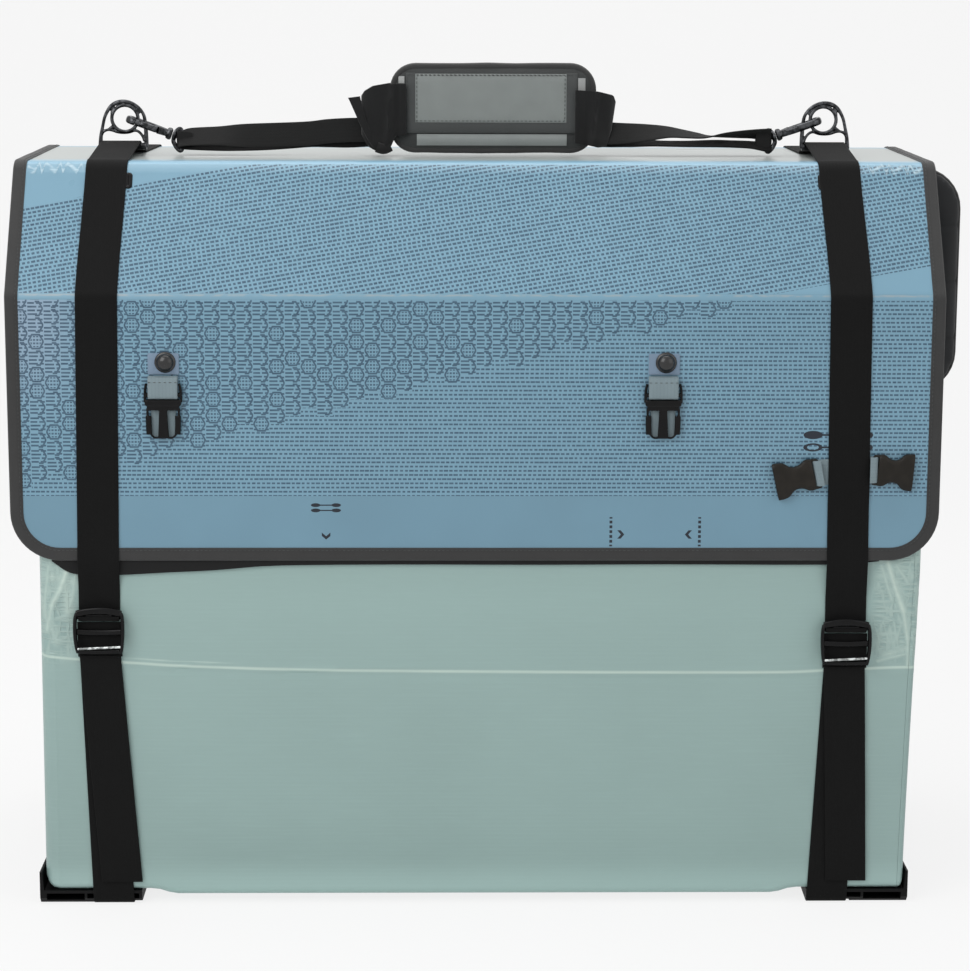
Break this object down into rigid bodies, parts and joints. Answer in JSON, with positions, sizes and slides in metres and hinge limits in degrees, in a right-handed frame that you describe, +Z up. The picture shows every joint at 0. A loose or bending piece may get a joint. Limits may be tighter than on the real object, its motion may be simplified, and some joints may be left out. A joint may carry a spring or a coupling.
{
  "type": "folding kayak",
  "caption": "Folding kayak packed as its own carrying box: a zigzag-folded sheet hull under a strapped folding lid, with carrying rings, shoulder strap and stowed seats.",
  "frame": {"origin": "on the ground, under the middle of the whole", "axes": "+X to the right of the front face along the box's length, +Y to the back, +Z up"},
  "size_m": [0.953, 0.4242, 0.832],
  "materials": {
    "hull_sheet": "sage green corrugated plastic sheet",
    "floor_board": "blue plastic board with a dark printed pattern",
    "binding": "dark grey sewn tape",
    "webbing": "black woven webbing",
    "buckle_plastic": "black moulded plastic",
    "skid_plastic": "black moulded plastic",
    "tab_webbing": "grey woven webbing",
    "hardware": "dark plated metal",
    "pad_fabric": "grey and black padded fabric",
    "seat_fabric": "black padded fabric",
    "crossbar_tube": "brushed tube"
  },
  "bodies": {
    "hull": {"hull_middle_section": "hull_sheet", "bow_section": "hull_sheet", "bow_tip_section": "hull_sheet", "stern_section": "hull_sheet", "stern_tip_section": "hull_sheet", "skid_left": "skid_plastic", "skid_right": "skid_plastic", "lower_strap_left": "webbing", "lower_strap_right": "webbing"},
    "front_flap": {"deck_flap_front": "hull_sheet"},
    "back_flap": {"deck_flap_back": "hull_sheet"},
    "lid_top": {"lid_top_panel": "floor_board", "top_strap_left": "webbing", "top_strap_right": "webbing"},
    "front_chine": {"lid_front_chine": "floor_board", "front_chine_strap_left": "webbing", "front_chine_strap_right": "webbing"},
    "front_panel": {"lid_front_panel": "floor_board", "front_panel_binding": "binding", "front_strap_left": "webbing", "front_strap_right": "webbing", "strap_tail_left": "webbing", "strap_tail_right": "webbing", "lid_rivet_left": "buckle_plastic", "lid_rivet_right": "buckle_plastic", "socket_strip": "tab_webbing"},
    "back_chine": {"lid_back_chine": "floor_board", "back_chine_strap_left": "webbing", "back_chine_strap_right": "webbing"},
    "back_panel": {"lid_back_panel": "floor_board", "back_panel_binding": "binding", "back_strap_left": "webbing", "back_strap_right": "webbing"},
    "lock_left": {"ladder_lock_left": "buckle_plastic", "lock_webbing_left": "webbing"},
    "lock_right": {"ladder_lock_right": "buckle_plastic", "lock_webbing_right": "webbing"},
    "carry_handle": {"carry_ring_left": "hardware", "shoulder_strap_left": "webbing", "shoulder_strap_right": "webbing", "shoulder_pad": "pad_fabric", "swivel_eye_left": "hardware", "swivel_eye_right": "hardware"},
    "ring_right": {"carry_ring_right": "hardware"},
    "hook_left": {"snap_hook_left": "hardware"},
    "hook_right": {"snap_hook_right": "hardware"},
    "gate_left": {"hook_gate_left": "hardware"},
    "gate_right": {"hook_gate_right": "hardware"},
    "plug_left": {"buckle_tab_left": "tab_webbing", "plug_buckle_left": "buckle_plastic"},
    "plug_right": {"buckle_tab_right": "tab_webbing", "plug_buckle_right": "buckle_plastic"},
    "socket_inner": {"socket_buckle_inner": "buckle_plastic"},
    "socket_outer": {"socket_buckle_outer": "buckle_plastic"},
    "rear_backrest": {"backrest_rear": "seat_fabric"},
    "front_backrest": {"backrest_front": "seat_fabric"},
    "rear_seat_pan": {"seat_pan_rear": "seat_fabric"},
    "front_seat_pan": {"seat_pan_front": "seat_fabric"},
    "short_crossbar": {"crossbar_short": "crossbar_tube"},
    "long_crossbar": {"crossbar_long": "crossbar_tube"}
  },
  "joints": [
    {"name": "lid_lift", "type": "slide", "parent": "hull", "child": "lid_top", "axis": [0, 0, 1], "range_m": [0, 0.5]},
    {"name": "front_top_crease", "type": "hinge", "parent": "lid_top", "child": "front_chine", "pos_m": [-0.0235, -0.122, 0.735], "axis": [-1, 0, 0], "range_deg": [0, 55]},
    {"name": "front_chine_crease", "type": "hinge", "parent": "front_chine", "child": "front_panel", "pos_m": [-0.0235, -0.206, 0.612], "axis": [-1, 0, 0], "range_deg": [0, 90]},
    {"name": "back_top_crease", "type": "hinge", "parent": "lid_top", "child": "back_chine", "pos_m": [-0.0235, 0.122, 0.735], "axis": [1, 0, 0], "range_deg": [0, 55]},
    {"name": "back_chine_crease", "type": "hinge", "parent": "back_chine", "child": "back_panel", "pos_m": [-0.0235, 0.206, 0.612], "axis": [1, 0, 0], "range_deg": [0, 90]},
    {"name": "front_flap_crease", "type": "hinge", "parent": "hull", "child": "front_flap", "pos_m": [-0.0235, -0.2, 0.61015], "axis": [-1, 0, 0], "range_deg": [0, 60]},
    {"name": "back_flap_crease", "type": "hinge", "parent": "hull", "child": "back_flap", "pos_m": [-0.0235, 0.2, 0.61015], "axis": [1, 0, 0], "range_deg": [0, 60]},
    {"name": "lock_left_tilt", "type": "hinge", "parent": "front_panel", "child": "lock_left", "pos_m": [-0.3905, -0.2052, 0.297], "axis": [-1, 0, 0], "range_deg": [0, 30]},
    {"name": "lock_right_tilt", "type": "hinge", "parent": "front_panel", "child": "lock_right", "pos_m": [0.3435, -0.2052, 0.285], "axis": [-1, 0, 0], "range_deg": [0, 30]},
    {"name": "handle_swing", "type": "hinge", "parent": "lid_top", "child": "carry_handle", "pos_m": [-0.3795, -0.03, 0.744], "axis": [1, 0, 0], "range_deg": [-45, 45]},
    {"name": "ring_right_swing", "type": "hinge", "parent": "lid_top", "child": "ring_right", "pos_m": [0.3325, -0.03, 0.744], "axis": [1, 0, 0], "range_deg": [-45, 45]},
    {"name": "hook_left_turn", "type": "hinge", "parent": "carry_handle", "child": "hook_left", "pos_m": [-0.3752, -0.03, 0.772], "axis": [0.943, 0, -0.3327], "range_deg": [-20, 20]},
    {"name": "gate_left_open", "type": "hinge", "parent": "hook_left", "child": "gate_left", "pos_m": [-0.34582, -0.04015, 0.76164], "axis": [-0.3327, 0, -0.943], "range_deg": [0, 14], "stiffness_Nm_per_rad": 0.02, "springref_deg": -17.19},
    {"name": "hook_right_turn", "type": "hinge", "parent": "carry_handle", "child": "hook_right", "pos_m": [0.3282, -0.03, 0.772], "axis": [-0.943, 0, -0.3327], "range_deg": [-20, 20]},
    {"name": "gate_right_open", "type": "hinge", "parent": "hook_right", "child": "gate_right", "pos_m": [0.29883, -0.01985, 0.76164], "axis": [0.3327, 0, -0.943], "range_deg": [0, 14], "stiffness_Nm_per_rad": 0.02, "springref_deg": -17.19},
    {"name": "plug_left_swing", "type": "hinge", "parent": "front_panel", "child": "plug_left", "pos_m": [-0.3255, -0.206, 0.547], "axis": [0, 1, 0], "range_deg": [-60, 15]},
    {"name": "plug_right_swing", "type": "hinge", "parent": "front_panel", "child": "plug_right", "pos_m": [0.1575, -0.206, 0.547], "axis": [0, 1, 0], "range_deg": [-60, 60]},
    {"name": "socket_inner_fold", "type": "hinge", "parent": "front_panel", "child": "socket_inner", "pos_m": [0.30965, -0.2104, 0.436], "axis": [0, 0, 1], "range_deg": [0, 75]},
    {"name": "socket_outer_fold", "type": "hinge", "parent": "front_panel", "child": "socket_outer", "pos_m": [0.36765, -0.2104, 0.436], "axis": [0, 0, -1], "range_deg": [0, 75]},
    {"name": "rear_backrest_slide", "type": "slide", "parent": "hull", "child": "rear_backrest", "axis": [1, 0, 0], "range_m": [0, 0.45]},
    {"name": "front_backrest_slide", "type": "slide", "parent": "hull", "child": "front_backrest", "axis": [-1, 0, 0], "range_m": [0, 0.45]},
    {"name": "rear_seat_pan_slide", "type": "slide", "parent": "hull", "child": "rear_seat_pan", "axis": [1, 0, 0], "range_m": [0, 0.45]},
    {"name": "front_seat_pan_slide", "type": "slide", "parent": "hull", "child": "front_seat_pan", "axis": [-1, 0, 0], "range_m": [0, 0.45]},
    {"name": "short_crossbar_slide", "type": "slide", "parent": "hull", "child": "short_crossbar", "axis": [1, 0, 0], "range_m": [0, 0.45]},
    {"name": "long_crossbar_slide", "type": "slide", "parent": "hull", "child": "long_crossbar", "axis": [-1, 0, 0], "range_m": [0, 0.45]}
  ],
  "couplings": [
    {"joint": "ring_right_swing", "follows": "handle_swing", "ratio": 1}
  ]
}
